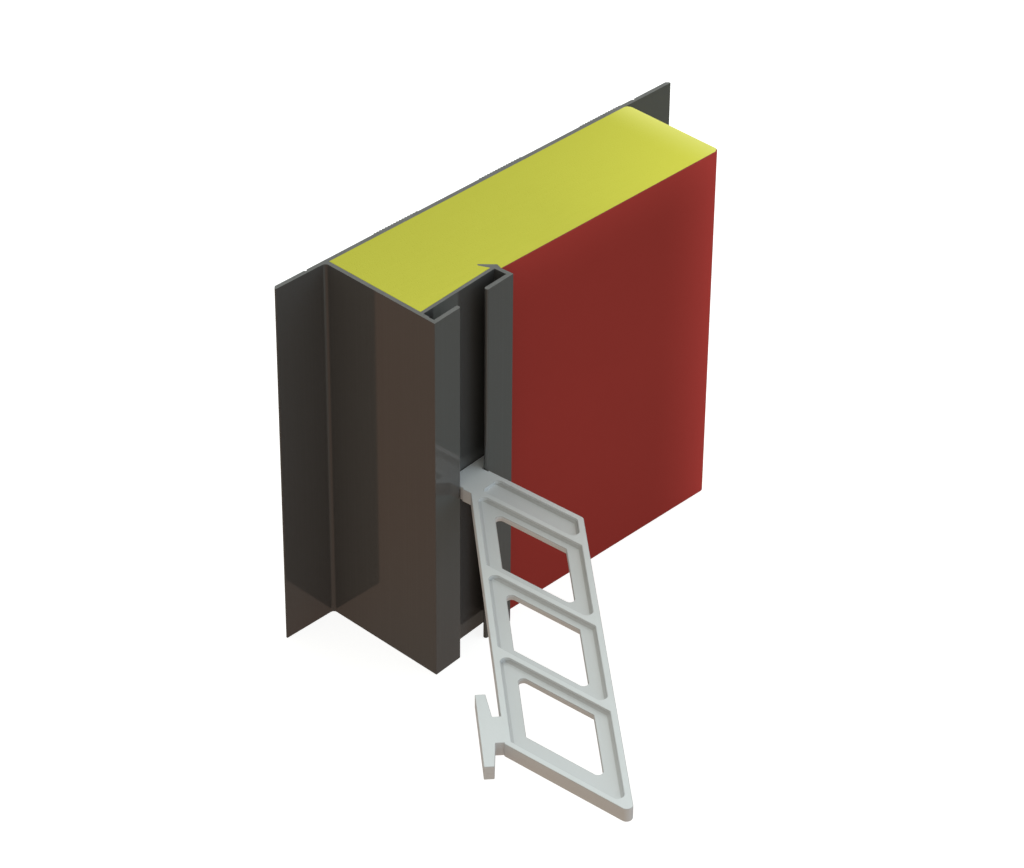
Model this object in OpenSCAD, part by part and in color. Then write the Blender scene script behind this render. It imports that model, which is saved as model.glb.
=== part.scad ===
// Cavity closer: an extruded profile with flanges, a web and a tie channel,
// an insulation core with a thin facing, and one ladder tie held in the channel.
// Millimetres. Z runs up the closer, X across the cavity, Y out to the reveal.
// The origin is the middle of the core on the lower cut end.

/* [Closer] */
// Length of the closer from cut end to cut end
closer_len = 100; // [80:5:300]
// Cavity spanned, from the outer face of the web to the far end of the core
cavity_w = 101.2; // [90:0.1:160]
// Depth of the insulation from its front face to the back plate
insulation_d = 30; // [25:0.5:60]
// Wall thickness of the back plate, the web and the channel side
wall_t = 1.2; // [1:0.1:1.5]
// Width of each flange past the cavity
flange_w = 15.4; // [10:0.1:30]
// Bevel on the outer edge of each flange tip
flange_bevel = 0.8; // [0.3:0.1:0.9]
// Radius in the corner between the near flange and the web
web_fillet = 1; // [0.4:0.1:2]

/* [Snap-off grooves] */
// Distance from the web's outer face to the near groove
groove_near = 5.2; // [3:0.1:8]
// Distance from the core's far end to the far groove
groove_far = 3; // [2:0.1:6]
// Width of each groove at the surface
groove_w = 0.9; // [0.4:0.1:1.4]
// Depth of each groove
groove_d = 0.6; // [0.3:0.1:0.8]

/* [Plaster key] */
// Distance from the web's outer face to the first ribbed band
key_first = 16.3; // [12:0.1:20]
// Distance from one ribbed band to the next
key_pitch = 34.5; // [22:0.5:50]
// Width of a ribbed band
key_w = 14.4; // [6:0.1:18]
// Pitch of the fine ribs in a band
key_rib = 0.9; // [0.6:0.1:1.5]
// Height of the fine ribs
key_h = 0.3; // [0.1:0.05:0.4]

/* [Tie channel] */
// Angle that the channel is turned away from the back plate
channel_skew = 4.4; // [0:0.1:6]
// Width of the channel over its sides
channel_w = 27.3; // [25:0.1:32]
// Distance that the channel's front corner stands out of the insulation
channel_stand = 5.4; // [5:0.1:5.5]
// Thickness of the two lips
lip_t = 1.2; // [1:0.1:1.5]
// Clear depth behind the lips
channel_clear = 3.4; // [2.8:0.1:3.8]
// Thickness of the channel's back wall
channel_back_t = 1; // [0.8:0.1:1.2]
// Width of the mouth between the lips
mouth_w = 9.2; // [8:0.1:10]
// Depth that the barb reaches into the core behind the channel
barb_reach = 3; // [2:0.1:5]
// Distance that the barb leans back from the channel's far side
barb_lean = 2.5; // [2:0.1:4]
// Distance that the barb's shoulder swells past the channel's far side
barb_swell = 0.6; // [0.3:0.1:1]

/* [Core and facing] */
// Thickness of the red facing
facing_t = 0.3; // [0.2:0.05:0.6]
// Angle that the facing wraps round the core's far front corner
facing_wrap = 55; // [20:5:80]
// Radius of the core's far corners over the facing
core_r = 1.6; // [1:0.1:5]

/* [Tie] */
// Height of the tie's underside above the lower cut end
tie_z = 46.5; // [10:0.5:75]
// Thickness of the tie
tie_t = 3.5; // [3:0.1:5]
// Width of the ladder across its long ribs
tie_w = 25; // [22:0.5:32]
// Angle between the ladder and the channel's mouth
tie_lean = 45; // [40:1:50]
// Distance from the mouth's middle to the ladder's long edge
tie_offset = 1.2; // [0.6:0.1:1.8]
// Number of windows in the ladder
window_n = 3; // [1:1:4]
// Width of a pocket between two cross ribs
pocket_w = 19.5; // [16:0.5:24]
// Extra width of the last pocket
last_extra = 2; // [0:0.5:4]
// Width of the closed recess beside the mouth
recess_w = 5.5; // [3.5:0.1:7]
// Width of every rib
rib_t = 1.5; // [1:0.1:2]
// Depth of the pockets, the same in both faces
pocket_d = 1.05; // [0.5:0.05:1.2]
// Width of the ledge between a cross rib and the window
ledge_cross = 2.25; // [1.5:0.05:3]
// Width of the ledge between a long rib and the window
ledge_long = 3.45; // [2:0.05:4.5]
// Depth of the upright rim along the cross ribs, above the round down to the floor
rim_cross = 0.25; // [0.15:0.05:0.4]
// Depth of the upright rim along the long ribs, above the round down to the floor
rim_long = 0.18; // [0.15:0.01:0.4]
// Radius in the sharp corners of the pockets
pocket_r = 1.4; // [0.8:0.1:2]
// Radius in the blunt corners of the pockets
pocket_blunt_r = 0.6; // [0.2:0.1:1]
// Radius in the sharp corners of the windows
window_r = 1.1; // [0.6:0.1:1.5]
// Radius in the blunt corners of the windows
window_blunt_r = 0.5; // [0.2:0.1:1]
// Distance from the ladder's edge at the mouth to the closed recess
recess_inset = 3.8; // [3:0.1:5]
// Radius in the closed recess's corners next to the neck
recess_r = 1.2; // [0.3:0.1:1.6]
// Radius on the ladder's outer corners
tie_r = 1.4; // [0.5:0.1:2]
// Thickness of the tie's heads at their tips
head_tip_t = 2.3; // [1.5:0.1:2.4]

/* [Clearances] */
// Running gap between the tie's heads and the channel
tie_clear = 0.15; // [0.15:0.05:0.3]
// Gap between a head's end and the channel's side
head_end_clear = 0.35; // [0.2:0.05:0.6]
// Step from a head's neck out to the ladder
tie_shoulder = 0.35; // [0.2:0.05:0.6]
// Gap between the ladder's shoulders and the lips
tie_standoff = 0.5; // [0.2:0.05:0.7]

/* [Hidden] */
$fn = 96;

// a small overlap, how far a cut runs past an edge, and what a rounding arc gains to cross it
eps = 0.01;
past = 0.2;
arc_gain = 0.01;

// web, plate and core positions
x_web = -cavity_w/2;
x_far = cavity_w/2;
y_core = -insulation_d/2;
y_plate = insulation_d/2;
y_corner = y_core - channel_stand;
key_n = floor((cavity_w - key_first - key_w)/key_pitch) + 1;
key_ribs = floor(key_w/key_rib);

// channel, in its own frame: X along the mouth, Y inwards, zero at the front corner
channel_d = lip_t + channel_clear + channel_back_t;
x_mouth = channel_w/2;
barb_root = 1.5;
barb_foot = 2.7;
barb_tip = 0.4;

// tie, in its own frame: X along the mouth, Y inwards, zero at the mouth's middle
neck_w = mouth_w - 2*tie_clear;
near_w = neck_w + 2*tie_shoulder;
neck_d = tie_standoff + lip_t + tie_clear;
head_root_t = channel_clear - 2*tie_clear;
head_len = channel_w - 2*wall_t - 2*head_end_clear;
w_hi = tie_offset;
w_lo = tie_offset - tie_w;
u_near = near_w/2;
u_first = u_near - rib_t - recess_w - rib_t;
step_u = pocket_w + rib_t;
u_end = u_first - window_n*step_u - last_extra;

// a point of the ladder from its distance across, u, and its distance over the long edge, w
function at(u, w) = [u, (w + u*sin(tie_lean))/cos(tie_lean)];
function unit(v) = v/norm(v);

// what is cut away at the corner p, and a little past it, to round it with radius r
module corner_cut(p, before, after, r) {
  a = unit(before - p);
  b = unit(after - p);
  out_a = unit(a*(a*b) - b)*past;
  out_b = unit(b*(a*b) - a)*past;
  half = acos(a*b)/2;
  reach = r/tan(half);
  c = p + unit(a + b)*r/sin(half);
  difference() {
    polygon([c, p + a*reach + out_a, p + out_a + out_b, p + b*reach + out_b]);
    translate(c) circle(r + arc_gain);
  }
}

// a four-sided outline with a radius for each corner
module rounded_quad(pts, radii) {
  difference() {
    polygon(pts);
    for (i = [0:3])
      if (radii[i] > 0)
        corner_cut(pts[i], pts[(i + 3)%4], pts[(i + 1)%4], radii[i]);
  }
}

// a skewed opening between two cross lines and two long lines, with its corner radii
module skew_quad(u_lo, u_hi, lo, hi, sharp_r, blunt_r) {
  rounded_quad([at(u_lo, lo), at(u_hi, lo), at(u_hi, hi), at(u_lo, hi)],
    [sharp_r, blunt_r, sharp_r, blunt_r]);
}

module in_channel_frame() {
  translate([x_web, y_corner]) rotate(channel_skew) children();
}

module in_tie_frame() {
  in_channel_frame() translate([x_mouth, 0]) children();
}

// the outer block of the channel, cut off flush with the web's outer face
module channel_block() {
  intersection() {
    in_channel_frame() translate([-channel_d, 0]) square([channel_w + channel_d, channel_d]);
    translate([x_web, y_corner - channel_d]) square([2*channel_w, 4*channel_d]);
  }
}

// a hook at the channel's far back corner that holds the core
module barb() {
  tip = [-barb_lean, barb_reach];
  half_tip = [barb_tip/2, barb_tip/2];
  in_channel_frame() translate([channel_w, channel_d])
    polygon([[-barb_root, -channel_back_t/4], [-wall_t/4, -barb_foot],
      [barb_swell, -barb_swell/2], tip + half_tip, tip - half_tip]);
}

module channel() {
  difference() {
    channel_block();
    in_channel_frame() translate([wall_t, lip_t])
      square([channel_w - 2*wall_t, channel_clear]);
    in_tie_frame() translate([-(mouth_w + lip_t)/2, -eps])
      square([mouth_w + lip_t, lip_t + 2*eps]);
  }
  for (side = [-1, 1])
    in_tie_frame() translate([side*(mouth_w + lip_t)/2, lip_t/2]) circle(lip_t/2);
}

// a run of fine triangular ribs
module plaster_key() {
  band = key_ribs*key_rib;
  ridges = [for (i = [1:key_ribs - 1]) each [[i*key_rib, eps], [(i + 0.5)*key_rib, key_h]]];
  polygon([[0, -eps], [band, -eps], each [for (k = [len(ridges) - 1:-1:0]) ridges[k]], [key_rib/2, key_h]]);
}

module groove(x) {
  translate([x, y_plate + wall_t])
    polygon([[-groove_w/2 - eps, eps], [0, -groove_d], [groove_w/2 + eps, eps]]);
}

module flange_tip(x, side) {
  translate([x, y_plate + wall_t])
    polygon([[side*eps, -flange_bevel - eps], [side*eps, eps],
      [-side*(flange_bevel + eps), eps]]);
}

module back_plate() {
  difference() {
    translate([x_web - flange_w, y_plate]) square([cavity_w + 2*flange_w, wall_t]);
    groove(x_web - groove_near);
    groove(x_far + groove_far);
    flange_tip(x_web - flange_w, -1);
    flange_tip(x_far + flange_w, 1);
  }
  for (i = [0:key_n - 1])
    translate([x_web + key_first + i*key_pitch, y_plate + wall_t]) plaster_key();
}

module web() {
  translate([x_web, y_corner + channel_d/2])
    square([wall_t, y_plate - y_corner - channel_d/2 + wall_t/2]);
  translate([x_web - web_fillet, y_plate - web_fillet])
    difference() {
      square(web_fillet + eps);
      circle(web_fillet);
    }
}

module profile_section() {
  back_plate();
  web();
  channel();
  barb();
}

// the outline of core and facing, before the channel and barb are cut out
module core_outline(inset) {
  r = core_r - inset;
  rounded_quad([[x_web + wall_t, y_core + inset], [x_far - inset, y_core + inset],
    [x_far - inset, y_plate], [x_web + wall_t, y_plate]], [0, r, r, 0]);
}

// where the facing lies: on the core's front and part of the way round its far corner
module facing_zone() {
  centre = [x_far - core_r, y_core + core_r];
  end = [sin(facing_wrap), -cos(facing_wrap)];
  difference() {
    polygon([centre, [x_web, centre[1]], [x_web, y_core - core_r],
      [centre[0], y_core - core_r], centre + 2*core_r*end]);
    core_outline(facing_t);
  }
}

module profile() {
  color([0.2, 0.2, 0.2]) linear_extrude(closer_len) profile_section();
}

module insulation() {
  color([0.76, 0.78, 0.28]) linear_extrude(closer_len)
    difference() {
      core_outline(0);
      facing_zone();
      channel_block();
      barb();
    }
}

module facing() {
  color([0.5, 0.16, 0.15]) linear_extrude(closer_len)
    difference() {
      intersection() {
        core_outline(0);
        facing_zone();
      }
      channel_block();
      barb();
    }
}

// a head with its neck: X along the head, Y away from the ladder, zero on the ladder's edge
module head() {
  top = neck_d + head_root_t;
  polygon([[-neck_w/2, -eps], [neck_w/2, -eps], [neck_w/2, neck_d],
    [head_len/2, top - head_tip_t], [head_len/2, top],
    [-head_len/2, top], [-head_len/2, top - head_tip_t], [-neck_w/2, neck_d]]);
}

module ladder_outline() {
  difference() {
    polygon([[u_near, -tie_standoff], [-u_near, -tie_standoff], at(-u_near, w_hi),
      at(u_end, w_hi), at(u_end, w_lo), at(u_near, w_lo)]);
    corner_cut(at(u_end, w_lo), at(u_end, w_hi), at(u_near, w_lo), tie_r);
    corner_cut(at(u_near, w_lo), at(u_end, w_lo), [u_near, 0], tie_r);
  }
}

module tie_outline() {
  ladder_outline();
  translate([0, -tie_standoff]) head();
  translate(at(u_end, w_hi)) rotate(tie_lean)
    translate([neck_w/2 + tie_shoulder, 0]) head();
}

// the section of a pocket: upright for the rim's depth, then rounded down to the floor
module pocket_section(width, rim, depth) {
  round_r = pocket_d - rim;
  intersection() {
    translate([-rib_t, -depth]) square([width + 2*rib_t, depth + eps]);
    union() {
      translate([-rib_t, -rim]) square([width + 2*rib_t, rim + 2*eps]);
      for (x = [round_r, width - round_r])
        translate([x, -rim]) circle(round_r + arc_gain);
      translate([round_r, -2*depth]) square([width - 2*round_r, 4*depth]);
    }
  }
}

// sinks an outline into the face at z = 0, rounded at the foot of the ribs on its four sides
module sink(u_lo, u_hi, lo, hi) {
  run = 3*tie_w;
  intersection() {
    translate([0, 0, -2*pocket_d]) linear_extrude(4*pocket_d) children();
    translate([u_lo, at(u_lo, hi)[1] + run/2, 0]) rotate([90, 0, 0])
      linear_extrude(2*run)
        pocket_section(u_hi - u_lo, rim_cross, pocket_d);
    translate(concat(at(u_lo, lo), 0)) rotate(tie_lean) rotate([90, 0, 90])
      translate([0, 0, -run/2]) linear_extrude(2*run)
        pocket_section(hi - lo, rim_long, 2*pocket_d);
  }
}

// the pocket round each window
module pockets() {
  lo = w_lo + rib_t;
  hi = w_hi - rib_t;
  for (i = [0:window_n - 1]) {
    right = u_first - i*step_u;
    left = right - pocket_w - (i == window_n - 1 ? last_extra : 0);
    sink(left, right, lo, hi) skew_quad(left, right, lo, hi, pocket_r, pocket_blunt_r);
  }
}

// the closed recess beside the mouth, cut off square to the cross ribs at the neck
module recess() {
  left = u_first + rib_t;
  right = u_near - rib_t;
  lo = w_lo + rib_t;
  top = -tie_standoff - recess_inset;
  sink(left, right, lo, w_hi + tie_w)
    rounded_quad([at(left, lo), at(right, lo), [right, top], [left, top]],
      [pocket_r, pocket_blunt_r, recess_r, recess_r]);
}

module sunk_face() {
  pockets();
  recess();
}

module windows() {
  for (i = [0:window_n - 1]) {
    right = u_first - i*step_u - ledge_cross;
    left = right - pocket_w + 2*ledge_cross;
    skew_quad(left, right, w_lo + rib_t + ledge_long, w_hi - rib_t - ledge_long,
      window_r, window_blunt_r);
  }
}

module tie() {
  color([0.8, 0.82, 0.82]) translate([0, 0, tie_z])
    in_tie_frame()
      difference() {
        linear_extrude(tie_t)
          difference() {
            tie_outline();
            windows();
          }
        translate([0, 0, tie_t]) sunk_face();
        mirror([0, 0, 1]) sunk_face();
      }
}

profile();
insulation();
facing();
tie();
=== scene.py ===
"""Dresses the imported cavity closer: an extruded vinyl profile, an insulation core, a red facing and a wall tie."""

from __future__ import annotations

import logging
import math
from dataclasses import dataclass, field
from enum import Enum
from typing import Callable

import bmesh
import bpy
from mathutils import Matrix, Vector

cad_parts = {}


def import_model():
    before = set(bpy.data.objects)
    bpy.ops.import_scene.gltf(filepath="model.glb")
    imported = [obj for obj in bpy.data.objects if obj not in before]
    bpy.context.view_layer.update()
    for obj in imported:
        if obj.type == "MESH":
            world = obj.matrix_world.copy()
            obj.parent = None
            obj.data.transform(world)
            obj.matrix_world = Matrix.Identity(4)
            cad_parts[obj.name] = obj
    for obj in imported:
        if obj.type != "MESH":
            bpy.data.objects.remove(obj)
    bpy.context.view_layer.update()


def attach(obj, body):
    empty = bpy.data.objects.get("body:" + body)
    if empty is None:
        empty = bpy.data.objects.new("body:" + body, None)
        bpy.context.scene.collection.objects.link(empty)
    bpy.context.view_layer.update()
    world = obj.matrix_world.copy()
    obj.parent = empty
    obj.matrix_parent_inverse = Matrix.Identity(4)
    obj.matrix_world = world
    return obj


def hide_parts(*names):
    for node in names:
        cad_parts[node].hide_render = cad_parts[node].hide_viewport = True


LOG = logging.getLogger("closer")
MM = 0.001  # A millimetre in metres.
MIDDLE = 0.5  # The middle of a pattern, a mark or a width that runs from 0 to 1.

Colour = tuple[float, float, float]
Triple = tuple[float, float, float]
Span = tuple[float, float]
Operand = "Value | float"

BLACK: Colour = (0.0, 0.0, 0.0)
WHITE: Colour = (1.0, 1.0, 1.0)


class Mark(Enum):
    """What a face of a finished piece is, kept as a number from 0 to 1 on the mesh."""

    EASED = "eased_edge"
    CUT = "cut_end"
    SIDE = "upright_side"
    FOOT = "rounded_foot"


class Value:
    """A number that changes over a surface: a socket that takes part in Python arithmetic."""

    def __init__(self, recipe: "Recipe", socket: bpy.types.NodeSocket) -> None:
        """Keeps the recipe that the number belongs to.

        Args:
            recipe: The material recipe whose nodes hold the number.
            socket: The output socket that gives it.
        """
        self.recipe = recipe
        self.socket = socket

    def _math(self, operation: str, *operands: Operand) -> "Value":
        """One Math node on the operands.

        Args:
            operation: The Math node's operation.
            *operands: Its inputs in order, numbers or values.

        Returns:
            The node's result.
        """
        links = {place: operand for place, operand in enumerate(operands)}
        return Value(self.recipe, self.recipe.node("ShaderNodeMath", {"operation": operation}, links).outputs[0])

    def __add__(self, other: Operand) -> "Value":
        """The sum."""
        return self._math("ADD", self, other)

    __radd__ = __add__

    def __sub__(self, other: Operand) -> "Value":
        """The difference."""
        return self._math("SUBTRACT", self, other)

    def __rsub__(self, other: Operand) -> "Value":
        """The difference, the other way round."""
        return self._math("SUBTRACT", other, self)

    def __mul__(self, other: Operand) -> "Value":
        """The product."""
        return self._math("MULTIPLY", self, other)

    __rmul__ = __mul__

    def __truediv__(self, other: Operand) -> "Value":
        """The quotient."""
        return self._math("DIVIDE", self, other)

    def __rtruediv__(self, other: Operand) -> "Value":
        """The quotient, the other way round."""
        return self._math("DIVIDE", other, self)

    def __pow__(self, other: Operand) -> "Value":
        """The power."""
        return self._math("POWER", self, other)

    def __abs__(self) -> "Value":
        """The number without its sign."""
        return self._math("ABSOLUTE", self)

    def at_least(self, low: float) -> "Value":
        """The number, or a lowest one where it is less."""
        return self._math("MAXIMUM", self, low)

    def between(self, low: float, high: float) -> "Value":
        """A soft step.

        Args:
            low: Where the step starts, at 0.
            high: Where it ends, at 1.

        Returns:
            The step, 0 to 1, eased at both ends.
        """
        settings = {"interpolation_type": "SMOOTHSTEP"}
        links = {"Value": self, "From Min": low, "From Max": high}
        return Value(self.recipe, self.recipe.node("ShaderNodeMapRange", settings, links).outputs[0])


class Recipe:
    """The node tree of a material or of the world, written as Python expressions."""

    def __init__(self, owner: bpy.types.Material | bpy.types.World) -> None:
        """Starts with an empty tree.

        Args:
            owner: The material or the world that the tree belongs to.
        """
        owner.use_nodes = True
        self.owner = owner
        self.tree = owner.node_tree
        self.tree.nodes.clear()

    def node(self, kind: str, settings: dict[str, object] | None = None,
             links: dict[str | int, object] | None = None) -> bpy.types.Node:
        """Adds a node of any type.

        Args:
            kind: The node's type.
            settings: Its properties, such as an operation, which are set first.
            links: The value or the link of each input, by the input's name or place.

        Returns:
            The new node.
        """
        new = self.tree.nodes.new(kind)
        for name, setting in (settings or {}).items():
            setattr(new, name, setting)
        for place, given in (links or {}).items():
            socket = new.inputs[place]
            if isinstance(given, Value):
                given = given.socket
            if isinstance(given, bpy.types.NodeSocket):
                self.tree.links.new(given, socket)
            elif isinstance(given, tuple) and socket.type == "RGBA" and len(given) == 3:
                socket.default_value = (*given, 1.0)
            else:
                socket.default_value = given
        return new

    def point(self, stretch: Triple = (1.0, 1.0, 1.0), turn: float = 0.0) -> bpy.types.NodeSocket:
        """The place on the piece, in its own metres.

        Args:
            stretch: The factor along each axis.
            turn: The turn about Z in radians, before the stretch.

        Returns:
            The vector socket.
        """
        place = self.node("ShaderNodeTexCoord").outputs["Object"]
        if turn:
            settings = {"rotation_type": "Z_AXIS"}
            place = self.node("ShaderNodeVectorRotate", settings, {0: place, "Angle": turn}).outputs[0]
        return self.node("ShaderNodeVectorMath", {"operation": "MULTIPLY"}, {0: place, 1: stretch}).outputs[0]

    def axis(self, name: str) -> Value:
        """One coordinate of the place on the piece.

        Args:
            name: X, Y or Z.

        Returns:
            The coordinate in metres.
        """
        place = self.node("ShaderNodeTexCoord").outputs["Object"]
        return Value(self, self.node("ShaderNodeSeparateXYZ", None, {0: place}).outputs[name])

    def mark(self, mark: Mark) -> Value:
        """How far a face carries a mark, from 0 to 1."""
        return Value(self, self.node("ShaderNodeAttribute", {"attribute_name": mark.value}).outputs["Fac"])

    def noise(self, point: bpy.types.NodeSocket, per_metre: float, detail: float = 2.0, rough: float = 0.5) -> Value:
        """A cloudy pattern about 0.5.

        Args:
            point: Where to read it.
            per_metre: How many clouds lie along a metre.
            detail: How many finer layers it has.
            rough: How strong the finer layers are.

        Returns:
            The pattern, 0 to 1.
        """
        links = {"Vector": point, "Scale": per_metre, "Detail": detail, "Roughness": rough}
        return Value(self, self.node("ShaderNodeTexNoise", {"noise_dimensions": "3D"}, links).outputs[0])

    def mix(self, share: Value, first: "Colour | bpy.types.NodeSocket",
            second: "Colour | bpy.types.NodeSocket") -> bpy.types.NodeSocket:
        """A blend of two colours.

        Args:
            share: How much of the second colour, 0 to 1.
            first: The colour at 0.
            second: The colour at 1.

        Returns:
            The blended colour's socket.
        """
        settings = {"data_type": "RGBA", "clamp_factor": True}
        return self.node("ShaderNodeMix", settings, {0: share, 6: first, 7: second}).outputs[2]

    def bump(self, height: Value, depth: float, under: bpy.types.NodeSocket | None = None) -> bpy.types.NodeSocket:
        """A relief.

        Args:
            height: The pattern, about 0 to 1.
            depth: What 1 stands for, in metres.
            under: A relief that lies below this one.

        Returns:
            The normal's socket.
        """
        links = {"Height": height, "Distance": depth, "Strength": 1.0}
        if under is not None:
            links["Normal"] = under
        return self.node("ShaderNodeBump", None, links).outputs[0]

    def surface(self, colour: bpy.types.NodeSocket, roughness: Value, normal: bpy.types.NodeSocket,
                gloss: float) -> bpy.types.Material:
        """Ends the recipe with one plain surface.

        Args:
            colour: The base colour.
            roughness: The roughness.
            normal: The relief.
            gloss: The specular level, the same all over.

        Returns:
            The finished material.
        """
        links = {"Base Color": colour, "Roughness": roughness, "Normal": normal, "Specular IOR Level": gloss}
        shader = self.node("ShaderNodeBsdfPrincipled", None, links)
        self.node("ShaderNodeOutputMaterial", None, {"Surface": shader.outputs[0]})
        return self.owner


def tinted(colour: Colour, tint: float) -> Colour:
    """A colour made paler or deeper.

    Args:
        colour: The colour.
        tint: The factor on each of its parts.

    Returns:
        The new colour.
    """
    return tuple(tint * part for part in colour)


@dataclass(frozen=True)
class VinylFinish:
    """Glossy extruded vinyl with faint die lines."""

    colour: Colour = (0.078, 0.079, 0.079)
    line_tint: float = 1.16
    line_share: float = 0.3
    line_band: Span = (0.42, 0.72)
    eased_colour: Colour = (0.10, 0.10, 0.10)
    eased_share: float = 0.6
    gloss: float = 1.0
    roughness: float = 0.04
    dull_lines: float = 0.03
    dull_clouds: float = 0.03
    dull_edges: float = 0.15
    clouds_per_metre: float = 60.0
    die_lines_per_metre: float = 2600.0
    die_line_stretch: float = 0.004
    die_line_depth: float = 0.0012 * MM

    def make(self) -> bpy.types.Material:
        """Mixes the finish.

        Returns:
            The material.
        """
        r = Recipe(bpy.data.materials.new("extruded_vinyl"))
        eased = r.mark(Mark.EASED)
        lines = r.noise(r.point((1.0, 1.0, self.die_line_stretch)), self.die_lines_per_metre, detail=3.0, rough=0.6)
        clouds = r.noise(r.point(), self.clouds_per_metre, detail=3.0)
        lined = lines.between(*self.line_band) * self.line_share
        colour = r.mix(lined, self.colour, tinted(self.colour, self.line_tint))
        colour = r.mix(eased * self.eased_share, colour, self.eased_colour)
        rough = self.roughness + lines * self.dull_lines + clouds * self.dull_clouds + eased * self.dull_edges
        return r.surface(colour, rough, r.bump(lines, self.die_line_depth), self.gloss)


@dataclass(frozen=True)
class SawnFinish:
    """The vinyl's sawn ends: dull, a little paler, with fine saw marks and a grey bloom."""

    colour: Colour = (0.112, 0.111, 0.108)
    bloom_colour: Colour = (0.165, 0.163, 0.156)
    bloom_share: float = 0.4
    mark_band: Span = (0.3, 0.7)
    cloud_band: Span = (0.4, 0.7)
    gloss: float = 0.25
    roughness: float = 0.6
    dull_marks: float = 0.2
    clouds_per_metre: float = 140.0
    marks_per_metre: float = 3800.0
    mark_stretch: float = 0.06
    mark_turn: float = 0.35
    mark_depth: float = 0.015 * MM

    def make(self) -> bpy.types.Material:
        """Mixes the finish.

        Returns:
            The material.
        """
        r = Recipe(bpy.data.materials.new("sawn_vinyl"))
        place = r.point((self.mark_stretch, 1.0, 1.0), turn=self.mark_turn)
        marks = r.noise(place, self.marks_per_metre, detail=2.0, rough=0.6)
        clouds = r.noise(r.point(), self.clouds_per_metre, detail=3.0)
        bloom = marks.between(*self.mark_band) * self.bloom_share + clouds.between(*self.cloud_band) * self.bloom_share
        colour = r.mix(bloom, self.colour, self.bloom_colour)
        rough = self.roughness + (marks - MIDDLE) * self.dull_marks
        return r.surface(colour, rough, r.bump(marks, self.mark_depth), self.gloss)


@dataclass(frozen=True)
class CoreFinish:
    """Yellow-green insulation: dense and dull, with fine laid fibres and open pores; painted light makes the top paler
    toward the far end, a painted highlight lies along the far edge and painted shade deepens it toward the back.
    """

    colour: Colour = (0.612, 0.597, 0.067)
    pore_and_shade_colour: Colour = (0.50, 0.49, 0.05)
    least_shade: float = 0.2
    fibre_share: float = 0.4
    cloud_share: float = 0.3
    pore_share: float = 0.2
    far_light_colour: Colour = (0.71, 0.692, 0.074)
    far_light_length: float = 50.0 * MM
    rim_highlight_colour: Colour = (0.80, 0.78, 0.18)
    rim_highlight_from: float = 40.0 * MM
    rim_highlight_length: float = 10.6 * MM
    back_shade_depth: float = 30.0 * MM
    back_shade_share: float = 0.65
    gloss: float = 0.12
    roughness: float = 0.85
    dull_fibres: float = 0.1
    clouds_per_metre: float = 45.0
    fibres_per_metre: float = 900.0
    fibre_stretch: float = 0.12
    fibre_turn: float = 0.04
    fibre_depth: float = 0.025 * MM
    pores_per_metre: float = 2600.0
    pore_band: Span = (0.3, 0.42)
    pore_depth: float = 0.02 * MM

    def make(self) -> bpy.types.Material:
        """Mixes the finish.

        Returns:
            The material.
        """
        r = Recipe(bpy.data.materials.new("insulation_core"))
        place = r.point((self.fibre_stretch, 1.0, 1.0), turn=self.fibre_turn)
        fibres = r.noise(place, self.fibres_per_metre, detail=4.0, rough=0.65)
        clouds = r.noise(r.point(), self.clouds_per_metre, detail=3.0)
        pores = r.noise(r.point(), self.pores_per_metre, detail=1.0)
        open_pore = 1.0 - pores.between(*self.pore_band)
        shade = (fibres - MIDDLE) * self.fibre_share + (clouds - MIDDLE) * self.cloud_share + self.least_shade
        colour = r.mix(shade, self.colour, self.pore_and_shade_colour)
        colour = r.mix(open_pore * self.pore_share, colour, self.pore_and_shade_colour)
        along = r.axis("X")
        # Painted light: the colour grows paler along X toward the far end, where the light falls more strongly.
        colour = r.mix((along / self.far_light_length).at_least(0.0), colour, self.far_light_colour)
        # Painted shade: the colour deepens toward the back of the core (+Y).
        back_shade = (r.axis("Y") / self.back_shade_depth + MIDDLE).at_least(0.0)
        colour = r.mix(back_shade * self.back_shade_share, colour, self.pore_and_shade_colour)
        # Painted highlight: a paler, whiter band over the last stretch of the far end.
        rim = ((along - self.rim_highlight_from) / self.rim_highlight_length).at_least(0.0)
        colour = r.mix(rim * rim, colour, self.rim_highlight_colour)
        relief = r.bump(fibres, self.fibre_depth)
        relief = r.bump(1.0 - open_pore, self.pore_depth, relief)
        rough = self.roughness + (fibres - MIDDLE) * self.dull_fibres
        return r.surface(colour, rough, relief, self.gloss)


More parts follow.
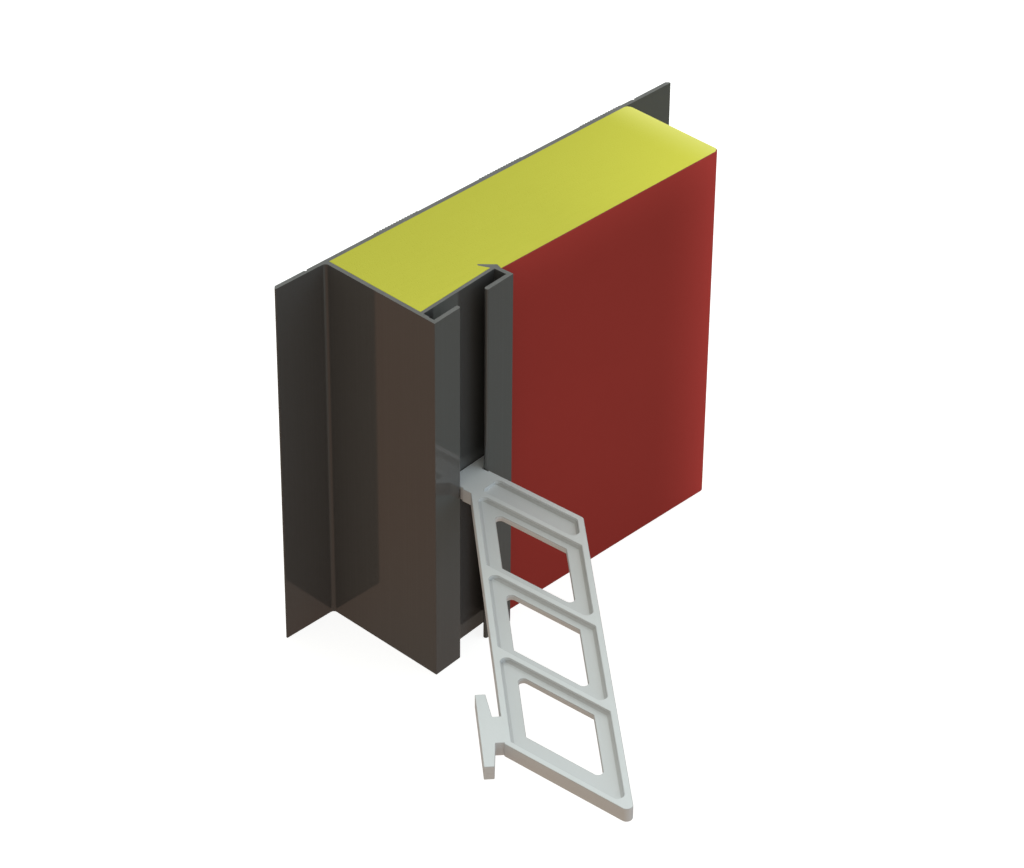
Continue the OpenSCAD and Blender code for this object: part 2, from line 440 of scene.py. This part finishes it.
@dataclass(frozen=True)
class FilmFinish:
    """Red facing film: satin, with slow ripples, and a painted highlight that makes it paler toward the far corner and
    along the top edge.
    """

    far_highlight_from: float
    far_highlight_length: float = 22.0 * MM
    top_highlight_from: float = 86.0 * MM
    top_highlight_length: float = 14.0 * MM
    top_highlight_share: float = 0.4
    colour: Colour = (0.328, 0.028, 0.022)
    cloud_tint: float = 0.93
    cloud_share: float = 0.5
    cloud_band: Span = (0.3, 0.7)
    highlight_colour: Colour = (0.51, 0.05, 0.044)
    cut_colour: Colour = (0.22, 0.012, 0.01)
    gloss: float = 0.2
    roughness: float = 0.5
    dull_clouds: float = 0.12
    dull_grain: float = 0.08
    clouds_per_metre: float = 28.0
    ripples_per_metre: float = 90.0
    ripple_stretch: float = 0.7
    ripple_depth: float = 0.05 * MM
    grain_per_metre: float = 5200.0
    grain_depth: float = 0.004 * MM

    def make(self) -> bpy.types.Material:
        """Mixes the finish.

        Returns:
            The material.
        """
        r = Recipe(bpy.data.materials.new("red_facing"))
        cut, eased = r.mark(Mark.CUT), r.mark(Mark.EASED)
        ripples = r.noise(r.point((1.0, 1.0, self.ripple_stretch)), self.ripples_per_metre, detail=2.0)
        grain = r.noise(r.point(), self.grain_per_metre, detail=2.0)
        clouds = r.noise(r.point(), self.clouds_per_metre, detail=3.0)
        cloudy = clouds.between(*self.cloud_band) * self.cloud_share
        colour = r.mix(cloudy, self.colour, tinted(self.colour, self.cloud_tint))
        # Painted highlight: the film is made paler toward the far corner and near the top edge.
        far_highlight = ((r.axis("X") - self.far_highlight_from) / self.far_highlight_length).at_least(0.0)
        top_highlight = ((r.axis("Z") - self.top_highlight_from) / self.top_highlight_length).at_least(0.0)
        colour = r.mix(far_highlight * far_highlight + top_highlight * top_highlight * self.top_highlight_share, colour, self.highlight_colour)
        colour = r.mix((cut + eased).between(0.0, 1.0), colour, self.cut_colour)
        rough = self.roughness + (clouds - MIDDLE) * self.dull_clouds + (grain - MIDDLE) * self.dull_grain
        relief = r.bump(ripples, self.ripple_depth)
        relief = r.bump(grain, self.grain_depth, relief)
        return r.surface(colour, rough, relief, self.gloss)


@dataclass(frozen=True)
class MouldedFinish:
    """Off-white moulded plastic: fine spark texture, a parting line and faint flow clouds, with painted shade on the
    rounded pocket feet, the pocket floors, the upright sides and the eased edges.
    """

    parting_z: float
    colour: Colour = (0.785, 0.82, 0.85)
    flow_colour: Colour = (0.735, 0.765, 0.785)
    flow_share: float = 0.6
    flow_band: Span = (0.4, 0.75)
    flow_per_metre: float = 120.0
    flow_stretch: float = 0.4
    flow_turn: float = -0.87
    painted_shade_colour: Colour = (0.52, 0.53, 0.54)
    side_share: float = 0.5
    eased_share: float = 0.2
    floor_share: float = 0.3
    floor_band: Span = (1.25 * MM, 1.6 * MM)
    gloss: float = 0.4
    roughness: float = 0.42
    dull_flow: float = 0.16
    dull_texture: float = 0.1
    worn_edges: float = 0.06
    parting_half_width: float = 0.09 * MM
    parting_height: float = 0.03 * MM
    parting_share: float = 0.5
    texture_per_metre: float = 4200.0
    texture_depth: float = 0.006 * MM

    def make(self) -> bpy.types.Material:
        """Mixes the finish.

        Returns:
            The material.
        """
        r = Recipe(bpy.data.materials.new("moulded_tie"))
        eased, side, foot = r.mark(Mark.EASED), r.mark(Mark.SIDE), r.mark(Mark.FOOT)
        texture = r.noise(r.point(), self.texture_per_metre, detail=2.0, rough=0.6)
        along = r.point((self.flow_stretch, 1.0, 1.0), turn=self.flow_turn)
        flow = r.noise(along, self.flow_per_metre, detail=4.0, rough=0.55)
        off_line = abs(r.axis("Z") - self.parting_z)
        parting = (1.0 - (off_line / self.parting_half_width).between(0.0, 1.0)) * side
        # The pocket floors: faces that are not upright and lie near the parting line's height.
        floor = (1.0 - off_line.between(*self.floor_band)) * (1.0 - side)
        colour = r.mix(flow.between(*self.flow_band) * self.flow_share, self.colour, self.flow_colour)
        colour = r.mix(parting * self.parting_share, colour, self.flow_colour)
        # Painted shade: the rounded pocket feet, the pocket floors, the upright sides and the eased edges are darkened
        # toward a grey.
        shaded = foot + side * self.side_share + eased * self.eased_share + floor * self.floor_share
        colour = r.mix(shaded, colour, self.painted_shade_colour)
        rough = self.roughness + (flow - MIDDLE) * self.dull_flow + (texture - MIDDLE) * self.dull_texture
        rough = rough - eased * self.worn_edges
        relief = r.bump(texture, self.texture_depth)
        relief = r.bump(parting, self.parting_height, relief)
        return r.surface(colour, rough, relief, self.gloss)


Finish = VinylFinish | CoreFinish | FilmFinish | MouldedFinish


@dataclass
class DressedPiece:
    """A construction node's form with its edges eased, which stands for the node in the picture."""

    node: str
    body: str
    edge: float
    finish: Finish
    level: float = 0.9
    eased_level: float = 0.3
    upright: float = 0.2
    segments: int = 2
    sharp: float = math.radians(28.0)
    weld: float = 0.0005 * MM
    flat: float = math.radians(0.3)

    def build(self) -> bpy.types.Object:
        """Copies the node's mesh, makes it whole, eases its edges and marks its faces.

        Returns:
            The new piece.
        """
        source = bpy.data.objects[self.node]
        mesh = source.data.copy()
        mesh.name = self.node + "_form"
        shape = bmesh.new()
        shape.from_mesh(mesh)
        bmesh.ops.remove_doubles(shape, verts=shape.verts, dist=self.weld)
        bmesh.ops.dissolve_limit(shape, angle_limit=self.flat, verts=shape.verts, edges=shape.edges,
                                 use_dissolve_boundaries=False)
        eased = self.ease(shape)
        self.set_marks(shape, eased)
        bmesh.ops.remove_doubles(shape, verts=shape.verts, dist=self.weld)
        for face in shape.faces:
            face.smooth = True
        for edge in shape.edges:
            edge.smooth = len(edge.link_faces) == 2 and edge.calc_face_angle(0.0) < self.sharp
        shape.to_mesh(mesh)
        shape.free()
        mesh.materials.clear()
        piece = bpy.data.objects.new(self.node + "_dressed", mesh)
        bpy.context.scene.collection.objects.link(piece)
        weigh = piece.modifiers.new("even_shading", "WEIGHTED_NORMAL")
        weigh.keep_sharp = True
        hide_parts(self.node)
        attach(piece, self.body)
        return piece

    def wants_ease(self, edge: bmesh.types.BMEdge) -> bool:
        """Whether an edge of the form is rounded off.

        Args:
            edge: The edge.

        Returns:
            True for a sharp edge between two faces.
        """
        return len(edge.link_faces) == 2 and edge.calc_face_angle(0.0) > self.sharp

    def ease(self, shape: bmesh.types.BMesh) -> set[bmesh.types.BMFace]:
        """Rounds off the sharp edges.

        Args:
            shape: The form, changed in place.

        Returns:
            The narrow faces along the rounded edges.
        """
        edges = [edge for edge in shape.edges if self.wants_ease(edge)]
        made = bmesh.ops.bevel(shape, geom=edges, offset=self.edge, offset_type="OFFSET", affect="EDGES",
                               segments=self.segments, profile=0.5, material=-1, clamp_overlap=False)
        return set(made["faces"])

    def set_marks(self, shape: bmesh.types.BMesh, eased: set[bmesh.types.BMFace]) -> None:
        """Stores what each face is.

        Args:
            shape: The form, changed in place.
            eased: The narrow faces along the rounded edges.
        """
        tests: dict[Mark, Callable[[bmesh.types.BMFace], float]] = {
            Mark.EASED: lambda face: face in eased,
            Mark.CUT: lambda face: abs(face.normal.z) > (self.eased_level if face in eased else self.level),
            Mark.SIDE: lambda face: abs(face.normal.z) < self.upright,
            Mark.FOOT: lambda face: 0.0 if face in eased else math.sin(2.0 * math.acos(min(abs(face.normal.z), 1.0))),
        }
        for mark, test in tests.items():
            layer = shape.faces.layers.float.new(mark.value)
            for face in shape.faces:
                face[layer] = float(test(face))

    def dress(self, piece: bpy.types.Object, material: bpy.types.Material) -> None:
        """Gives the piece its finish.

        Args:
            piece: The piece.
            material: Its material.
        """
        piece.data.materials.append(material)
        LOG.info("%s: %d faces on body %s", piece.name, len(piece.data.polygons), self.body)


@dataclass
class ProfileExtrusion(DressedPiece):
    """The extruded profile: plate, flanges, web, tie channel and barb."""

    node: str = "profile"
    body: str = "closer"
    edge: float = 0.1 * MM
    rib_lean: Span = (0.15, 0.85)
    rib_outward: float = 0.2
    finish: VinylFinish = field(default_factory=VinylFinish)
    sawn: SawnFinish = field(default_factory=SawnFinish)

    def wants_ease(self, edge: bmesh.types.BMEdge) -> bool:
        """Leaves the fine ribs of the plaster key as they are.

        Args:
            edge: The edge.

        Returns:
            True for a sharp edge that isn't on a fine rib.
        """
        least, most = self.rib_lean
        normals = [face.normal for face in edge.link_faces]
        rib = any(least < abs(normal.x) < most and normal.y > self.rib_outward for normal in normals)
        return super().wants_ease(edge) and not rib

    def dress(self, piece: bpy.types.Object, material: bpy.types.Material) -> None:
        """Gives the piece its finish, and the sawn ends their own.

        Args:
            piece: The piece.
            material: The material of all but the sawn ends.
        """
        super().dress(piece, material)
        piece.data.materials.append(self.sawn.make())
        cut = piece.data.attributes[Mark.CUT.value].data
        for polygon in piece.data.polygons:
            polygon.material_index = int(cut[polygon.index].value > MIDDLE)


@dataclass
class InsulationCore(DressedPiece):
    """The insulation core behind the web and the facing."""

    node: str = "insulation"
    body: str = "closer"
    edge: float = 0.12 * MM
    bare_from: float = 50.2 * MM
    finish: CoreFinish = field(default_factory=CoreFinish)

    def wants_ease(self, edge: bmesh.types.BMEdge) -> bool:
        """Eases the core's bare far end, because the plate, the web and the facing cover its other edges.

        Args:
            edge: The edge.

        Returns:
            True for a sharp edge at the far end.
        """
        return super().wants_ease(edge) and all(vert.co.x > self.bare_from for vert in edge.verts)


@dataclass
class RedFacing(DressedPiece):
    """The facing film on the core's front, turned round the far corner."""

    node: str = "facing"
    body: str = "closer"
    edge: float = 0.04 * MM
    segments: int = 1
    finish: FilmFinish = field(default_factory=lambda: FilmFinish(far_highlight_from=28.6*MM))


@dataclass
class LadderTie(DressedPiece):
    """The ladder-shaped wall tie, with one head in the channel and one free."""

    node: str = "tie"
    body: str = "tie"
    edge: float = 0.15 * MM
    finish: MouldedFinish = field(default_factory=lambda: MouldedFinish(parting_z=48.25*MM))

    def wants_ease(self, edge: bmesh.types.BMEdge) -> bool:
        """Eases the outer edges and leaves the corners inside the pockets to the mould.

        Args:
            edge: The edge.

        Returns:
            True for a sharp edge that stands out.
        """
        return super().wants_ease(edge) and edge.is_convex


@dataclass(frozen=True)
class BroadGlow:
    """A broad soft light from far away, such as a large window or a lit wall."""

    azimuth: float
    elevation: float
    colour: Colour
    tightness: float = 6.0

    def way(self) -> Triple:
        """The way the light comes from, as a vector of length 1."""
        turn, rise = math.radians(self.azimuth), math.radians(self.elevation)
        return (math.cos(turn) * math.cos(rise), math.sin(turn) * math.cos(rise), math.sin(rise))

    def shine(self, recipe: Recipe) -> bpy.types.NodeSocket:
        """Adds the light to the world.

        Args:
            recipe: The world's recipe.

        Returns:
            The shader, strongest along the way and dark from a right angle on.
        """
        ray = recipe.node("ShaderNodeTexCoord").outputs["Generated"]
        links = {0: ray, 1: self.way()}
        along = recipe.node("ShaderNodeVectorMath", {"operation": "DOT_PRODUCT"}, links).outputs["Value"]
        share = Value(recipe, along).at_least(0.0) ** self.tightness
        return recipe.node("ShaderNodeBackground", None, {"Color": self.colour, "Strength": share}).outputs[0]


@dataclass
class Studio:
    """A pale floor, an even sky, broad soft light from two sides and a soft lamp past the closer's far end."""

    floor_half: float = 3.0
    floor_drop: float = 0.05 * MM
    floor_shown: Colour = (0.42, 0.42, 0.42)
    floor_dull: Colour = (0.30, 0.245, 0.21)
    picture_glow: Colour = (0.86, 0.86, 0.86)
    mirror_cool: Colour = (0.19, 0.22, 0.205)
    mirror_warm: Colour = (0.25, 0.14, 0.096)
    mirror_band: Span = (-0.1, 0.15)
    bounce_glow: Colour = (0.318, 0.20, 0.15)
    even_sky: Colour = (0.513, 0.494, 0.42)
    glows: tuple[BroadGlow, ...] = (
        BroadGlow(60.0, 5.0, (3.54, 4.05, 4.3)),
        BroadGlow(-60.0, 20.0, (0.645, 0.90, 1.15)),
    )
    lamp_power: float = 1.04
    lamp_colour: Colour = (0.93, 1.0, 0.95)
    lamp_size: float = 0.36
    lamp_place: Triple = (0.426, 0.19, 0.366)
    lamp_aim: Triple = (0.0, 0.0, 0.075)

    def build(self) -> None:
        """Lays the floor, sets the world and hangs the lamp."""
        self.lay_floor()
        self.set_world()
        self.hang_lamp()

    def ways_seen(self, recipe: Recipe) -> tuple[Value, Value]:
        """Tells the rays that show what they hit to the eye from those that only carry light.

        Args:
            recipe: The recipe that asks.

        Returns:
            Whether the ray is seen directly, and whether it is seen in a gloss or through glass.
        """
        path = recipe.node("ShaderNodeLightPath")
        kinds = ("Is Camera Ray", "Is Glossy Ray", "Is Transmission Ray")
        camera, glossy, through = (Value(recipe, path.outputs[kind]) for kind in kinds)
        return camera, glossy + through

    def lay_floor(self) -> None:
        """A wide pale floor that still takes the object's shadow, a hair below the lower cut end."""
        shape = bmesh.new()
        place = Matrix.Translation((0.0, 0.0, -self.floor_drop))
        bmesh.ops.create_grid(shape, x_segments=2, y_segments=2, size=self.floor_half, matrix=place)
        mesh = bpy.data.meshes.new("floor")
        shape.to_mesh(mesh)
        shape.free()
        floor = bpy.data.objects.new("floor", mesh)
        bpy.context.scene.collection.objects.link(floor)
        r = Recipe(bpy.data.materials.new("pale_floor"))
        camera, mirrored = self.ways_seen(r)
        behind = (r.axis("Y") - r.axis("X")).between(*self.mirror_band)
        glow = r.mix(mirrored, self.bounce_glow, r.mix(behind, self.mirror_cool, self.mirror_warm))
        glow = r.mix(camera, glow, self.picture_glow)
        colour = r.mix(camera, self.floor_dull, self.floor_shown)
        colour = r.mix(mirrored, colour, BLACK)
        matt = r.node("ShaderNodeBsdfDiffuse", None, {"Color": colour})
        light = r.node("ShaderNodeEmission", None, {"Color": glow, "Strength": 1.0})
        both = r.node("ShaderNodeAddShader", None, {0: matt.outputs[0], 1: light.outputs[0]})
        r.node("ShaderNodeOutputMaterial", None, {"Surface": both.outputs[0]})
        mesh.materials.append(r.owner)

    def set_world(self) -> None:
        """An even sky with the broad glows added, and plain white where the world is seen."""
        world = bpy.data.worlds.new("studio")
        bpy.context.scene.world = world
        r = Recipe(world)
        light = r.node("ShaderNodeBackground", None, {"Color": self.even_sky, "Strength": 1.0}).outputs[0]
        for glow in self.glows:
            light = r.node("ShaderNodeAddShader", None, {0: light, 1: glow.shine(r)}).outputs[0]
        camera, mirrored = self.ways_seen(r)
        white = r.node("ShaderNodeBackground", None, {"Color": WHITE, "Strength": 1.0}).outputs[0]
        shown = r.node("ShaderNodeMixShader", None, {0: camera + mirrored, 1: light, 2: white})
        r.node("ShaderNodeOutputWorld", None, {"Surface": shown.outputs[0]})

    def hang_lamp(self) -> None:
        """A soft lamp past the closer's far end, to the right of the picture, that leaves no glare."""
        light = bpy.data.lights.new("soft_lamp", "AREA")
        light.shape = "DISK"
        light.size = self.lamp_size
        light.energy = self.lamp_power
        light.color = self.lamp_colour
        lamp = bpy.data.objects.new("soft_lamp", light)
        place, aim = Vector(self.lamp_place), Vector(self.lamp_aim)
        lamp.matrix_world = Matrix.LocRotScale(place, (aim - place).to_track_quat("-Z", "Y"), None)
        lamp.visible_camera = False
        lamp.visible_glossy = False
        bpy.context.scene.collection.objects.link(lamp)


@dataclass
class PictureCamera:
    """The camera at the picture's place and angle."""

    place: Triple = (-0.54215, -0.52062, 0.56387)
    right: Triple = (0.69938, -0.71471, 0.00749)
    ahead: Triple = (0.58742, 0.56878, -0.57570)
    lens: float = 132.8
    film_width: float = 36.0
    nearest: float = 0.01

    def build(self) -> None:
        """Sets the scene's camera."""
        data = bpy.data.cameras.new("picture_camera")
        data.lens = self.lens
        data.sensor_width = self.film_width
        data.clip_start = self.nearest
        camera = bpy.data.objects.new("picture_camera", data)
        ahead = Vector(self.ahead).normalized()
        right = Vector(self.right)
        right = (right - ahead*right.dot(ahead)).normalized()
        up = right.cross(ahead)
        turn = Matrix((right, up, -ahead)).transposed()
        camera.matrix_world = Matrix.LocRotScale(Vector(self.place), turn.to_quaternion(), None)
        bpy.context.scene.collection.objects.link(camera)
        bpy.context.scene.camera = camera


def main() -> None:
    """Builds and dresses every piece, then sets the studio and the camera."""
    logging.basicConfig(level=logging.INFO, format="%(name)s: %(message)s")
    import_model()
    for maker in (ProfileExtrusion(), InsulationCore(), RedFacing(), LadderTie()):
        maker.dress(maker.build(), maker.finish.make())
    Studio().build()
    PictureCamera().build()
    bpy.context.scene.view_settings.view_transform = "Standard"


if __name__ == "__main__":
    main()
